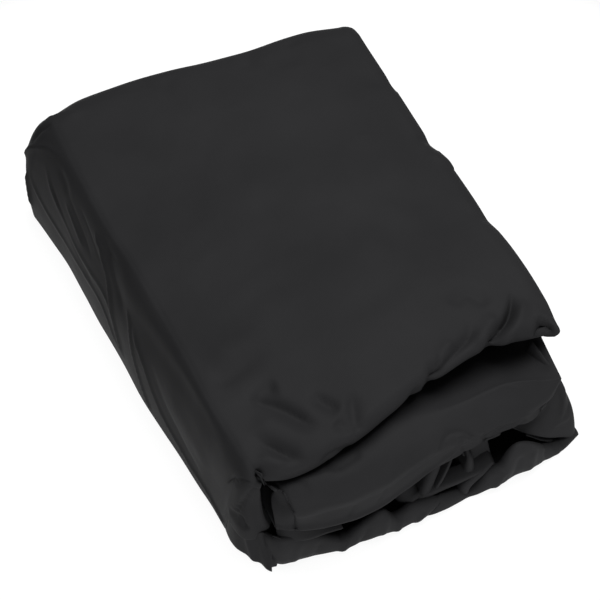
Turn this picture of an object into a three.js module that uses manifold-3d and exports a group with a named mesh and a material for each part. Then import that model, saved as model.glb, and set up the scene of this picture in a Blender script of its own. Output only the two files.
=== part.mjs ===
// A motorcycle cover of coated polyester cloth, folded into a thick soft bundle.
// Millimetres, +Z up. The bundle lies on its base with the origin at the base's centre. The layered end
// faces -Y, the rolled end +Y, and the closed fold runs down the left side, -X.
// The cloth is one back-and-forth section: it lies over the top, rolls down the back end, runs forward
// along the base, and then goes back and forth up to the thick middle fold.
import * as THREE from "three";
import Module from "manifold-3d";

// Sizes of the bundle
const TOP_Z = 83;
const CROWN = 6.5;
const CROWN_CENTRE = { x: 5, y: 10 };
const CROWN_HALF = { x: 112, y: 178 };
const FRONT_DROOP = 3;
const DROOP_REACH = 60;

// Thickness of the cloth's plies: the outer sheet, and one pass of pressed inner plies
const SHEET = 3.2;
const PASS = 6.8;
const PASS_GAP = 2.2;
const THIN_PASS = 3.4;

// The outer sheet's rounded edges: radius of each shoulder, and how far the wall below it bulges
const SHOULDER = 25;
const WALL_BULGE = 2.5;
const WALL_FOOT_IN = 2;
const CORNER_FLATTEN = 0.2;
const RIGHT_EDGE = { radius: 13, turn: THREE.MathUtils.degToRad(44) };
const LIP_LEG = 13;

// Shares of an edge's own parameter: the shoulder's arc before the wall, the front nose before its leg
const ARC_SHARE = 0.55;
const NOSE_SHARE = 0.78;

// The outer sheet's sides: x where the left shoulder and the right edge begin, at stations along the length
const SIDES = [
  { y: -150, left: -90, right: 109 },
  { y: -110, left: -93, right: 111 },
  { y: -60, left: -95, right: 114 },
  { y: -15, left: -98, right: 113 },
  { y: 30, left: -98, right: 114 },
  { y: 55, left: -101, right: 113 },
  { y: 110, left: -100, right: 116 },
  { y: 165, left: -101, right: 118 },
];

// The back end: y where its shoulder begins, at stations across the width
const BACK = [
  { x: -101, y: 162 },
  { x: -77, y: 169 },
  { x: -30, y: 168 },
  { x: 10, y: 164 },
  { x: 45, y: 161 },
  { x: 90, y: 162 },
  { x: 117, y: 157 },
];

// The front end, at stations across the width. lip: y of the top fold's nose; lipThick: its thickness.
// nose: y of the middle fold's nose; noseTop and noseLow: its heights. ply: y of the fold in the mouth.
// pad: y of the bottom fold's nose; padTop: its height.
const FRONT = [
  { x: -104, lip: -152, lipThick: 17, nose: -168, noseTop: 58, noseLow: 29, ply: -150, pad: -175, padTop: 14 },
  { x: -84, lip: -161, lipThick: 17, nose: -176, noseTop: 60, noseLow: 30, ply: -158, pad: -176, padTop: 12 },
  { x: -60, lip: -161, lipThick: 16, nose: -181, noseTop: 60, noseLow: 31, ply: -160, pad: -180, padTop: 9 },
  { x: -34, lip: -156, lipThick: 16, nose: -181, noseTop: 60, noseLow: 32, ply: -166, pad: -183, padTop: 16 },
  { x: -12, lip: -149, lipThick: 16, nose: -177, noseTop: 61, noseLow: 34, ply: -165, pad: -184, padTop: 10 },
  { x: 12, lip: -142, lipThick: 15, nose: -173, noseTop: 61, noseLow: 35, ply: -163, pad: -184, padTop: 13 },
  { x: 34, lip: -137, lipThick: 15, nose: -171, noseTop: 61, noseLow: 35, ply: -161, pad: -183, padTop: 8 },
  { x: 56, lip: -132, lipThick: 14, nose: -170, noseTop: 61, noseLow: 34, ply: -157, pad: -181, padTop: 14 },
  { x: 76, lip: -131, lipThick: 13, nose: -169, noseTop: 62, noseLow: 34, ply: -128, pad: -178, padTop: 20 },
  { x: 93, lip: -132, lipThick: 12, nose: -166, noseTop: 63, noseLow: 34, ply: -136, pad: -174, padTop: 12 },
  { x: 106, lip: -132, lipThick: 11, nose: -157, noseTop: 63, noseLow: 34, ply: -138, pad: -172, padTop: 8 },
  { x: 118, lip: -131, lipThick: 10, nose: -146, noseTop: 63, noseLow: 34, ply: -136, pad: -167, padTop: 8 },
];

// How far the outer sheet's front nose reaches, over the top and down the left wall to its foot
const NOSE_REACH = { top: 10, wall: 13, foot: 24 };
const NOSE_FULLNESS = 0.6;
const BEND_ROOM = 1.15;

// Main creases of the top: soft troughs (deep > 0) and ridges (deep < 0). from and to are the ends of
// the crease's centre line, half is its half width.
const CREASES = [
  { from: [-82, -92], to: [-31, -141], half: 9, deep: 3.2 },
  { from: [-86, -121], to: [-58, -150], half: 7, deep: 2.6 },
  { from: [-66, -112], to: [-44, -152], half: 8, deep: -2.2 },
  { from: [-11, -92], to: [-28, -132], half: 6, deep: 2.0 },
  { from: [63, -95], to: [22, -140], half: 8, deep: 3.0 },
  { from: [88, -84], to: [61, -137], half: 7, deep: 3.4 },
  { from: [76, -88], to: [46, -138], half: 7, deep: -2.2 },
  { from: [105, -92], to: [84, -138], half: 7, deep: -1.6 },
  { from: [-4, 52], to: [42, -30], half: 34, deep: 2.4 },
  { from: [-70, -40], to: [-20, -70], half: 22, deep: -1.6 },
  { from: [20, 172], to: [52, 120], half: 20, deep: 2.2 },
  { from: [70, 20], to: [104, -50], half: 18, deep: 1.6 },
];

// Inner passes, numbered up from the base: their right ends at the open side, how far those of the middle
// fold draw in towards the front, and where all of them but the base pass stop beside the left wall
const PASS_RIGHT = [118, 120, 117, 119, 119, 114, 117, 118];
const RIGHT_DRAWN_IN = { by: 9, from: -80, to: -140 };
const FIRST_OF_MIDDLE = 5;
const INNER_LEFT = -95;
const INNER_RIGHT = 118;

// Where the passes' lines have points along the length
const BASE_STATIONS = [158, 110, 50, -20, -90];
const PASS_STATIONS = [-50, 60];
const PAD_RISE = 40;

// The folds: shares of a fold's height that it reaches forward, and the sizes that are lengths
const PAD_FOLD = { roundness: 0.55, behindThick: 1.6 };
const MOUTH_FOLD = { low: 20, under: 1.5, roundness: 0.5 };
const MIDDLE_FOLD = { behind: 33, reach: 29.6 };
const INNER_FOLD = { heights: [0.61, 0.37], behind: 24, reach: 4, thick: 3.4 };
const REAR_FOLD = { gap: 2, reach: 5.5, run: 8, hemShort: 22 };
const REAR_CORNER_IN = 26;

// The pointed corner of an under layer that shows below the middle fold's right end
const CORNER_FLAP = [
  { x: 72, y: -160, z: 33 },
  { x: 74, y: -168, z: 20 },
  { x: 96, y: -174, z: 10 },
  { x: 116, y: -172, z: 7 },
  { x: 118, y: -158, z: 28 },
  { x: 112, y: -144, z: 50 },
];
const FLAP_THICK = 2.6;
const FLAP_INWARD = [-0.55, 0.75, 0.1];
const FLAP_SWELL = [1, -2, 0];

// Steps of the two surfaces, and of the differences that give the sheet's slope
const STEPS = { shoulder: 8, right: 3, nose: 9, across: 23, along: 22, stations: 17, fold: 4, middleFold: 8 };
const CLOSER_AT_FRONT = 1.35;
const DIFFERENCE = 0.01;

// A space that holds the bundle, above the surface that it lies on
const ROOM = { side: 600, height: 200 };

const wasm = await Module();
wasm.setup();

const { clamp, lerp, smoothstep } = THREE.MathUtils;

// A table's column at a station, on a smooth curve through the rows
function lookup(rows, key, at, column) {
  const last = rows.length - 1;
  const place = clamp(at, rows[0][key], rows[last][key]);
  const next = clamp(rows.findIndex((row) => row[key] >= place), 1, last);
  const [low, high] = [rows[next - 1], rows[next]];
  const slope = (i) => {
    const [before, after] = [rows[Math.max(0, i - 1)], rows[Math.min(last, i + 1)]];
    return (after[column] - before[column]) / (after[key] - before[key]);
  };
  const span = high[key] - low[key];
  const t = (place - low[key]) / span;
  const ease = t * t * (3 - 2 * t);
  const bend = t * (1 - t) * ((1 - t) * slope(next - 1) - t * slope(next)) * span;
  return lerp(low[column], high[column], ease) + bend;
}

const front = (x, column) => lookup(FRONT, "x", x, column);

// How far the top fold's nose reaches: less where the fold is thin, so that its bend stays open
const lipReach = (x) => Math.min(NOSE_REACH.top, (front(x, "lipThick") / 2) ** 2 / (SHEET * BEND_ROOM));

// Height lost or gained at a plan point by the main creases
function creaseDepth(x, y) {
  let sum = 0;
  for (const { from, to, half, deep } of CREASES) {
    const [dx, dy] = [to[0] - from[0], to[1] - from[1]];
    const share = clamp(((x - from[0]) * dx + (y - from[1]) * dy) / (dx * dx + dy * dy), 0, 1);
    const away = Math.hypot(x - from[0] - share * dx, y - from[1] - share * dy);
    sum += deep * Math.exp(-((away / half) ** 2));
  }
  return sum;
}

// Height of the bundle without its creases: a low crown that droops to the front fold
function crownHeight(x, y) {
  const across = 1 - Math.min(1, ((x - CROWN_CENTRE.x) / CROWN_HALF.x) ** 2);
  const along = 1 - Math.min(1, ((y - CROWN_CENTRE.y) / CROWN_HALF.y) ** 4);
  const lip = front(x, "lip");
  const droop = FRONT_DROOP * (1 - smoothstep(y, lip, lip + DROOP_REACH));
  return TOP_Z + CROWN * across * along - droop;
}

// Profile of a shoulder and the wall below it, from 0 at the top to 1 at the foot
function shoulderProfile(share, height) {
  if (share < ARC_SHARE) {
    const turn = (share / ARC_SHARE) * (Math.PI / 2);
    return { out: SHOULDER * Math.sin(turn), drop: SHOULDER * (1 - Math.cos(turn)), turn };
  }
  const down = (share - ARC_SHARE) / (1 - ARC_SHARE);
  const bulge = WALL_BULGE * Math.sin(Math.PI * down) - WALL_FOOT_IN * down ** 4;
  return { out: SHOULDER + bulge, drop: lerp(SHOULDER, height + SHEET, down), turn: Math.PI / 2 };
}

// The outer sheet. u runs from the left wall's foot (-1) over the top (0 to 1) to the right edge (2);
// v runs from the front nose's leg (-1) over the top (0 to 1) to the back wall's foot (2).
function sheetPoint(u, v) {
  const p = clamp(u, 0, 1);
  const q = clamp(v, 0, 1);
  const guess = lerp(SIDES[0].left, SIDES[0].right, p);
  const start = (x) => front(x, "lip") + lipReach(x);
  const y0 = lerp(start(guess), lookup(BACK, "x", guess, "y"), q);
  const x = lerp(lookup(SIDES, "y", y0, "left"), lookup(SIDES, "y", y0, "right"), p);
  const y = lerp(start(x), lookup(BACK, "x", x, "y"), q);
  const top = crownHeight(x, y) - creaseDepth(x, y);
  const point = new THREE.Vector3(x, y, top);
  const normal = new THREE.Vector3(0, 0, 1);
  const left = Math.max(0, -u);
  const back = Math.max(0, v - 1);
  if (left > 0 || back > 0) {
    const round = Math.atan2(back, left);
    const edge = shoulderProfile(Math.max(left, back), top);
    const out = edge.out * (1 - CORNER_FLATTEN * Math.sin(2 * round));
    point.x -= out * Math.cos(round);
    point.y += out * Math.sin(round);
    point.z -= edge.drop;
    normal.set(-Math.sin(edge.turn), 0, Math.cos(edge.turn));
  }
  if (u > 1) {
    const turn = (u - 1) * RIGHT_EDGE.turn;
    point.x += RIGHT_EDGE.radius * Math.sin(turn);
    point.z -= RIGHT_EDGE.radius * (1 - Math.cos(turn));
    normal.set(Math.sin(turn), 0, Math.cos(turn));
  }
  if (v < 0) {
    const wall = smoothstep(left, 0, ARC_SHARE);
    const foot = smoothstep(left, ARC_SHARE, 1);
    const reach = lerp(lerp(lipReach(x), NOSE_REACH.wall, wall), NOSE_REACH.foot, foot);
    const thick = front(x, "lipThick");
    const turn = Math.PI * Math.min(1, -v / NOSE_SHARE);
    const leg = Math.max(0, (-v - NOSE_SHARE) / (1 - NOSE_SHARE)) * lerp(LIP_LEG, LIP_LEG / 3, wall);
    const forward = Math.sin(turn) ** lerp(1, NOSE_FULLNESS, wall);
    point.y -= reach * forward - leg;
    point.addScaledVector(normal, (-thick / 2) * (1 - Math.cos(turn)));
  }
  return point;
}

// The same sheet, a depth below its outer face
function sheetBelow(u, v, depth) {
  const point = sheetPoint(u, v);
  if (depth === 0) return point;
  const step = DIFFERENCE;
  const across = sheetPoint(Math.min(2, u + step), v).sub(sheetPoint(Math.max(-1, u - step), v));
  const along = sheetPoint(u, Math.min(2, v + step)).sub(sheetPoint(u, Math.max(-1, v - step)));
  return point.addScaledVector(across.cross(along).normalize(), -depth);
}

// Evenly spaced parameters of one zone, without its last end
const evenly = (from, to, count) => Array.from({ length: count }, (_, i) => lerp(from, to, i / count));

// A closed solid from a grid of rings: ring[i][j] with j closed on itself, and flat caps at both ends
function solidFromRings(rings) {
  const size = rings[0].length;
  const points = rings.flat();
  const faces = [];
  const at = (i, j) => i * size + (j % size);
  for (let i = 0; i + 1 < rings.length; i += 1) {
    for (let j = 0; j < size; j += 1) {
      faces.push([at(i, j), at(i, j + 1), at(i + 1, j + 1)], [at(i, j), at(i + 1, j + 1), at(i + 1, j)]);
    }
  }
  const half = size / 2;
  for (const [i, facing] of [[0, 1], [rings.length - 1, -1]]) {
    for (let j = 0; j + 1 < half; j += 1) {
      const quad = [at(i, j), at(i, size - 1 - j), at(i, size - 2 - j), at(i, j + 1)];
      if (facing < 0) quad.reverse();
      faces.push([quad[0], quad[1], quad[2]], [quad[0], quad[2], quad[3]]);
    }
  }
  return solidFromFaces(points, faces);
}

// A manifold solid from points and triangles
function solidFromFaces(points, faces) {
  const vertProperties = new Float32Array(points.flatMap((point) => point.toArray()));
  const triVerts = new Uint32Array(faces.flat());
  return new wasm.Manifold(new wasm.Mesh({ numProp: 3, vertProperties, triVerts }));
}

// The outer sheet as a closed shell: each ring goes along its outer face and back along its inner face
function outerSheet() {
  const across = [
    ...evenly(-1, 0, STEPS.shoulder),
    ...evenly(0, 1, STEPS.across),
    ...evenly(1, 2, STEPS.right),
    2,
  ];
  const along = [
    ...evenly(-1, 0, STEPS.nose),
    ...evenly(0, 1, STEPS.along).map((v) => v ** CLOSER_AT_FRONT),
    ...evenly(1, 2, STEPS.shoulder),
    2,
  ];
  const rings = across.map((u) => [
    ...along.map((v) => sheetBelow(u, v, 0)),
    ...along.toReversed().map((v) => sheetBelow(u, v, SHEET)),
  ]);
  return solidFromRings(rings.toReversed());
}

// Heights of the inner passes at a plan point, following the crown
function passHeight(pass, x, y) {
  const room = crownHeight(x, y) - SHEET - PASS_GAP;
  const pitch = (room - PASS) / (PASS_RIGHT.length - 0.5);
  return PASS / 2 + (pass - 1) * pitch;
}

// One station of the inner band: its centre line, as points with a height, a thickness and a pass
function bandLine(x) {
  const nose = front(x, "nose");
  const noseTop = front(x, "noseTop") - PASS / 2;
  const noseLow = front(x, "noseLow") + PASS / 2;
  const ply = front(x, "ply");
  const pad = front(x, "pad");
  const padTop = front(x, "padTop") - THIN_PASS / 2;
  const line = [];
  const add = (pass, y, z, thick = PASS) => line.push({ pass, y, z, thick });
  const level = (pass, y) => add(pass, y, passHeight(pass, x, y));
  const wall = lookup(BACK, "x", x, "y") + SHOULDER - WALL_FOOT_IN - SHEET;
  const rear = wall - REAR_FOLD.gap - PASS / 2 - REAR_FOLD.reach;
  const straight = rear - REAR_FOLD.run;
  // A pass's straight part, towards the back or the front
  const backwards = (pass, upto = straight) => [...PASS_STATIONS, upto].forEach((y) => level(pass, y));
  const forwards = (pass) => [straight, ...PASS_STATIONS.toReversed()].forEach((y) => level(pass, y));
  // A fold: a half ellipse from one pass to the next, which reaches a length past where both passes end
  const fold = (passes, y, heights, reach, thick = PASS, steps = STEPS.fold) => {
    for (let i = 0; i <= steps; i += 1) {
      const turn = (Math.PI * i) / steps;
      const z = lerp(heights[0], heights[1], (1 - Math.cos(turn)) / 2);
      add(i * 2 < steps ? passes[0] : passes[1], y + reach * Math.sin(turn), z, thick);
    }
  };
  const rearFold = (from, to) => {
    fold([from, to], rear, [passHeight(from, x, rear), passHeight(to, x, rear)], REAR_FOLD.reach);
  };
  add(1, wall + SHEET / 2, PASS / 2);
  BASE_STATIONS.forEach((y) => level(1, y));
  const padReach = PAD_FOLD.roundness * (padTop - THIN_PASS / 2);
  const padThick = PAD_FOLD.behindThick * THIN_PASS;
  add(1, pad + PAD_RISE, padThick / 2, padThick);
  fold([1, 2], pad + padReach + THIN_PASS / 2, [THIN_PASS / 2, padTop], -padReach, THIN_PASS);
  add(2, pad + PAD_RISE, passHeight(2, x, pad) - 1, padThick);
  backwards(2);
  rearFold(2, 3);
  forwards(3);
  const mouth = [MOUTH_FOLD.low, front(x, "noseLow") - MOUTH_FOLD.under - THIN_PASS / 2];
  const mouthReach = MOUTH_FOLD.roundness * (mouth[1] - mouth[0]);
  fold([3, 4], ply + mouthReach + THIN_PASS / 2, mouth, -mouthReach, THIN_PASS);
  backwards(4);
  rearFold(4, 5);
  forwards(5);
  fold([5, 8], nose + MIDDLE_FOLD.behind, [noseLow, noseTop], -MIDDLE_FOLD.reach, PASS, STEPS.middleFold);
  backwards(8);
  rearFold(8, 7);
  forwards(7);
  const inner = INNER_FOLD.heights.map((share) => lerp(noseLow, noseTop, share));
  fold([7, 6], nose + INNER_FOLD.behind, inner, -INNER_FOLD.reach, INNER_FOLD.thick);
  backwards(6, rear - REAR_FOLD.hemShort);
  return line;
}

// Left end of a pass: the base pass reaches the walls, cut off at the rounded back corner, and the others
// stop short of them
function bandLeft(pass, y) {
  if (pass > 1 || y < SIDES[0].y) return INNER_LEFT;
  const wall = lookup(SIDES, "y", y, "left") - SHOULDER + WALL_FOOT_IN + SHEET / 4;
  return y > BASE_STATIONS[0] ? wall + REAR_CORNER_IN : wall;
}

// Right end of a pass: those of the middle fold draw in towards the front
function bandRight(pass, y) {
  const share = 1 - smoothstep(y, RIGHT_DRAWN_IN.to, RIGHT_DRAWN_IN.from);
  return PASS_RIGHT[pass - 1] - (pass < FIRST_OF_MIDDLE ? 0 : RIGHT_DRAWN_IN.by * share);
}

// The inner band, swept across the width
function innerBand() {
  const rings = [];
  for (let i = 0; i <= STEPS.stations; i += 1) {
    const share = i / STEPS.stations;
    const nominal = lerp(INNER_LEFT, INNER_RIGHT, share);
    const line = bandLine(nominal).map(({ pass, y, z, thick }) => {
      const x = lerp(bandLeft(pass, y), bandRight(pass, y), share);
      return { at: new THREE.Vector3(x, y, z), thick };
    });
    const side = (sign) =>
      line.map(({ at, thick }, k) => {
        const before = line[Math.max(0, k - 1)].at;
        const after = line[Math.min(line.length - 1, k + 1)].at;
        const along = new THREE.Vector2(after.y - before.y, after.z - before.z).normalize();
        return at.clone().add(new THREE.Vector3(0, -along.y, along.x).multiplyScalar((sign * thick) / 2));
      });
    rings.push([...side(1), ...side(-1).toReversed()]);
  }
  return solidFromRings(rings.toReversed());
}

// The corner flap: a fan-shaped thin plate whose rim follows its table
function cornerFlap() {
  const inward = new THREE.Vector3(...FLAP_INWARD).normalize().multiplyScalar(FLAP_THICK);
  const rim = CORNER_FLAP.map(({ x, y, z }) => new THREE.Vector3(x, y, z));
  const centre = rim.reduce((sum, point) => sum.add(point), new THREE.Vector3());
  const outer = [centre.divideScalar(rim.length).add(new THREE.Vector3(...FLAP_SWELL)), ...rim];
  const inner = outer.map((point) => point.clone().add(inward));
  const count = outer.length;
  const faces = [];
  for (let i = 1; i < count; i += 1) {
    const next = (i % (count - 1)) + 1;
    faces.push([0, i, next], [count, count + next, count + i]);
    faces.push([i, count + i, count + next], [i, count + next, next]);
  }
  return solidFromFaces([...outer, ...inner], faces);
}

// Everything above the surface that the bundle lies on
function roomAboveFloor() {
  const room = new THREE.BoxGeometry(ROOM.side, ROOM.side, ROOM.height);
  room.translate(0, 0, ROOM.height / 2);
  const corners = [];
  const seen = new Map();
  const position = room.getAttribute("position");
  const order = Array.from(room.index.array, (i) => {
    const corner = new THREE.Vector3().fromBufferAttribute(position, i);
    const key = corner.toArray().join();
    if (!seen.has(key)) seen.set(key, corners.push(corner) - 1);
    return seen.get(key);
  });
  const faces = [];
  for (let i = 0; i < order.length; i += 3) faces.push(order.slice(i, i + 3));
  return solidFromFaces(corners, faces);
}

// The whole cover: sheet, band and flap as one solid, cut flat at the base
function coverGeometry() {
  const parts = [outerSheet(), innerBand(), cornerFlap()];
  const whole = parts.reduce((sum, part) => sum.add(part)).intersect(roomAboveFloor());
  const mesh = whole.getMesh();
  const geometry = new THREE.BufferGeometry();
  geometry.setAttribute("position", new THREE.BufferAttribute(mesh.vertProperties, mesh.numProp));
  geometry.setIndex(new THREE.BufferAttribute(mesh.triVerts, 1));
  geometry.computeBoundingBox();
  const centre = geometry.boundingBox.getCenter(new THREE.Vector3());
  geometry.translate(-centre.x, -centre.y, 0);
  geometry.computeVertexNormals();
  return geometry;
}

const cover = new THREE.Group();
const cloth = new THREE.MeshStandardMaterial({ color: 0x2b2b2c, roughness: 0.6, metalness: 0 });
const folded = new THREE.Mesh(coverGeometry(), cloth);
folded.name = "folded_cover";
cover.add(folded);

export default cover;
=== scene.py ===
import math

import bpy
import numpy as np
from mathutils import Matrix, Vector


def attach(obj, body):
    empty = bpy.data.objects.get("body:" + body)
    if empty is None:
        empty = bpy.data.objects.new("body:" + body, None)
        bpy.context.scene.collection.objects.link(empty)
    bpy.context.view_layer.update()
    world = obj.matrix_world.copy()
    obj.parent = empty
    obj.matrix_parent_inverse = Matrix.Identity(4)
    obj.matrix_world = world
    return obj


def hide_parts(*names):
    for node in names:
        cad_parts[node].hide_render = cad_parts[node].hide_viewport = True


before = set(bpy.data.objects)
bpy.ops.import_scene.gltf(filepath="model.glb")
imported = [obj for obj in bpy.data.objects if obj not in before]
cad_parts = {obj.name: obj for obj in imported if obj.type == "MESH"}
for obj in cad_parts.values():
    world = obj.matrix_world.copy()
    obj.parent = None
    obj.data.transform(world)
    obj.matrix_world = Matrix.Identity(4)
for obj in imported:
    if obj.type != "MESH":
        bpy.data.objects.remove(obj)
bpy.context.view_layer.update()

MM = 0.001
# From the maker's coordinates to the middle of the bundle's footprint
FRAME_SHIFT = (0.491, -6.408, 0.0)
NODE = "folded_cover"

# The top: its height at the edges, its low crown, and how far it droops to the front fold
TOP_Z = 83.0
CROWN = 6.5
CROWN_CENTRE = (5.0, 10.0)
CROWN_HALF = (112.0, 178.0)
FRONT_DROOP = 3.0
DROOP_REACH = 60.0

# The outer sheet's foot, its back left corner, fuller than a round one, and its right edge, which only begins
# to turn down
FOOT_Z = 0.4
CORNER_FULLER = 0.08
RIGHT_RADIUS = 13.0
RIGHT_TURN = math.radians(44)

# The outer sheet's roll at its front end: how far it reaches on the top, where it gets smaller with the lip's
# thickness, on the left wall and at the wall's foot; how full it is on the wall; which share of it is round;
# and the straight legs that run back inside
NOSE_REACH_TOP = 10.0
LIP_POINTED = 3.7
NOSE_REACH_WALL = 13.0
NOSE_REACH_FOOT = 18.0
NOSE_FULLNESS = 0.6
NOSE_SHARE = 0.6
LIP_LEG = 30.0
WALL_LEG = 6.0
# Shares of the way down the left wall: where its own roll is reached, and where the foot's begins
ON_WALL = 0.3
FOOT_FROM = 0.45
# Shares of the roll over which the wall's front end turns to the right
SLIT_TURN = (0.15, 0.6)

# Thickness of the cloth as drawn: each sheet stands for one to three plies of about 0.1 mm
OUTER_THICK = 1.3
FOLD_THICK = 1.3
PLY_THICK = 1.0


def rows(names, *lines):
    """A table with named columns, from its rows."""
    return {name: np.array(column, float) for name, column in zip(names, zip(*lines))}


# The outer sheet's sides: x where the left shoulder and the right edge begin, and how far out the left wall
# stands from there, at stations along the length
SIDES = rows(
    ("y", "left", "right", "wall"),
    (-150, -101, 106, 14),
    (-118, -103, 108, 13.2),
    (-100, -104, 111, 13.6),
    (-60, -103, 113, 16.7),
    (-15, -102.5, 112, 20.2),
    (30, -103, 113, 19.7),
    (55, -105, 112, 17.8),
    (110, -104, 114, 18.8),
    (165, -100, 117, 28),
)

# How far to the right the front end of the left wall turns, from its top (share 0) to its foot
SLIT_EDGE = rows(
    ("share", "x"),
    (0.0, 0.0),
    (0.15, -1.5),
    (0.4, -2.6),
    (0.7, 1.0),
    (1.0, 10.5),
)

# The back end: y where its shoulder begins, at stations across the width
BACK = rows(
    ("x", "y"),
    (-101, 162),
    (-77, 169),
    (-30, 168),
    (10, 164),
    (45, 161),
    (90, 162),
    (117, 157),
)

# The top fold's nose at the front: its y and its thickness, at stations across the width
LIP = rows(
    ("x", "nose", "thick"),
    (-104, -152, 17),
    (-84, -161, 17),
    (-60, -161, 16),
    (-34, -156, 16),
    (-12, -149, 16),
    (12, -142, 15),
    (34, -137, 15),
    (56, -132, 14),
    (76, -131, 13),
    (93, -133, 13),
    (106, -134, 13),
    (113, -136, 11),
    (118, -139, 4),
)

# The thick middle fold: y of its nose, the heights of its rim and of its low edge, and how far behind the
# nose its rim is
MIDDLE = rows(
    ("x", "nose", "top", "low", "rim"),
    (-99, -173, 65, 36, 16),
    (-90, -175, 66, 36, 17),
    (-84, -176, 66.5, 35, 18),
    (-60, -181, 67, 33, 21),
    (-34, -181, 68, 31, 26),
    (-12, -177, 68, 33, 28),
    (12, -173, 66, 37, 28),
    (34, -171, 64, 38, 24),
    (56, -170, 62, 39, 19),
    (72, -169, 62, 39, 18.5),
    (84, -167, 62, 37.5, 13),
    (92, -165, 62, 41, 7),
    (97, -163.5, 62, 48, 3.5),
    (102, -162, 62, 58, 0.5),
    (104, -161.5, 62, 60.5, 0.0),
)
# How far behind the nose the rim stands in the right part's section below
RIM_BACK = 19.0
# Its right end gets wider towards the back: by how much, how far back, over which length, and down to which w
MIDDLE_WIDER = 6.0
MIDDLE_WIDER_BY = 36.0
MIDDLE_WIDER_OVER = 30.0
MIDDLE_WIDER_TO_W = 0.6

# Its section, from inside under the top fold (w 0), over the rim and down its face to the low edge, and back
# in (w 1). back: distance behind the nose; rise: share of the fold's height. The left part is full and round;
# the right part has a flat top that falls to the inside, a crisp rim and a slanted face.
MIDDLE_SECTION = rows(
    ("w", "back", "rise", "right_back", "right_rise"),
    (0.00, 62, 0.50, 62, 0.53),
    (0.16, 38, 0.72, 42, 0.72),
    (0.28, 25, 0.88, 27, 0.88),
    (0.34, 18.5, 0.965, 21.5, 0.955),
    (0.38, 14, 0.99, 19, 1.00),
    (0.42, 9.4, 0.95, 16.5, 0.95),
    (0.47, 5, 0.86, 12, 0.83),
    (0.55, 1.0, 0.67, 5, 0.62),
    (0.62, 0.0, 0.50, 1.2, 0.45),
    (0.69, 1.0, 0.36, 0.2, 0.32),
    (0.76, 1.9, 0.20, 0.9, 0.18),
    (0.80, 2.0, 0.10, 1.0, 0.10),
    (0.83, 1.4, 0.045, 0.9, 0.045),
    (0.85, 0.6, 0.00, 0.9, 0.00),
    (0.87, 1.2, -0.04, 2.2, -0.03),
    (0.90, 6, -0.01, 6, -0.01),
    (1.00, 34, 0.12, 34, 0.12),
)
# Its left end turns in behind a pressed crease. crease: x of the crease; slope: how fast the cloth turns back
# past it; end: x where the cloth ends
MIDDLE_END_FROM = -84.0
MIDDLE_END = rows(
    ("w", "crease", "slope", "end"),
    (0.00, -90.0, 1.0, -92.0),
    (0.28, -91.0, 1.5, -92.4),
    (0.38, -90.6, 2.2, -92.5),
    (0.47, -89.6, 2.9, -92.8),
    (0.55, -88.2, 2.8, -93.4),
    (0.62, -87.0, 1.8, -94.2),
    (0.69, -86.3, 1.0, -95.0),
    (0.76, -86.0, 0.6, -95.4),
    (0.85, -85.8, 0.4, -95.6),
    (1.00, -85.8, 0.3, -95.6),
)
# w of its rim, its nose and its low edge
RIM_W = 0.42
NOSE_W = 0.62
LOW_W = 0.86
# x where the round section begins to change to the slanted one, and where it has changed
SLANT_FROM = -10.0
SLANT_TO = 60.0

# The bottom fold: y of its nose, and the height of its ruffled upper edge
BOTTOM = rows(
    ("x", "nose", "top"),
    (-101, -166, 24),
    (-98, -171.5, 25),
    (-94, -175, 26),
    (-85, -176, 25),
    (-71, -178, 19),
    (-61, -179.5, 13),
    (-54, -180, 9),
    (-44, -181, 15),
    (-36, -182, 21),
    (-29, -182.5, 24),
    (-24, -182.5, 17),
    (-19, -182.5, 12),
    (-8, -182, 15),
    (4, -182, 13),
    (16, -181.5, 10),
    (26, -180, 7),
    (33, -178.5, 3),
    (39, -179.5, 5),
    (46, -180.5, 13),
    (57, -181, 18),
    (62, -180.5, 26),
    (68, -180, 30),
    (76, -180, 27),
    (84, -178.5, 18.5),
    (92, -176.5, 10),
    (100, -174.5, 4.5),
    (107, -172.5, 2.5),
    (120, -167, 2),
)
# Its section, from the back end of the ply under the bundle (w 0), along the floor to the front, up its face
# and over the ruffled edge (w 1)
BOTTOM_SECTION = rows(
    ("w", "back", "rise"),
    (0.00, 350, 0.00),
    (0.50, 60, 0.00),
    (0.62, 14, 0.00),
    (0.67, 4, 0.04),
    (0.72, 0.5, 0.24),
    (0.78, 0, 0.52),
    (0.84, 0.8, 0.82),
    (0.87, 2.4, 0.97),
    (0.89, 4.4, 1.00),
    (0.92, 6.4, 0.90),
    (1.00, 10, 0.05),
)
# w where the ply under the bundle ends, y of its back end, and w over which the creases of the face begin
UNDER_W = 0.5
UNDER_END = 181.0
BOTTOM_FACE_W = (0.6, 0.7)


def through(table, key, at, column):
    """A table's column at each station, on a smooth curve through its rows."""
    keys, values = table[key], table[column]
    slope = np.empty_like(values)
    slope[1:-1] = (values[2:] - values[:-2]) / (keys[2:] - keys[:-2])
    slope[0] = (values[1] - values[0]) / (keys[1] - keys[0])
    slope[-1] = (values[-1] - values[-2]) / (keys[-1] - keys[-2])
    place = np.clip(at, keys[0], keys[-1])
    low = np.clip(np.searchsorted(keys, place) - 1, 0, len(keys) - 2)
    span = keys[low + 1] - keys[low]
    t = (place - keys[low]) / span
    ease = t * t * (3 - 2 * t)
    bend = t * (1 - t) * ((1 - t) * slope[low] - t * slope[low + 1]) * span
    return lerp(values[low], values[low + 1], ease) + bend


def lerp(a, b, share):
    return a + (b - a) * share


def smooth(value, start, end):
    """0 at start and before it, 1 at end and past it, with an eased rise between."""
    t = np.clip((value - start) / (end - start), 0, 1)
    return t * t * (3 - 2 * t)


def lip_reach(x):
    """How far the top fold's nose reaches ahead of where it begins to turn."""
    return np.minimum(NOSE_REACH_TOP, (through(LIP, "x", x, "thick") / 2) ** 2 / LIP_POINTED)


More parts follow.
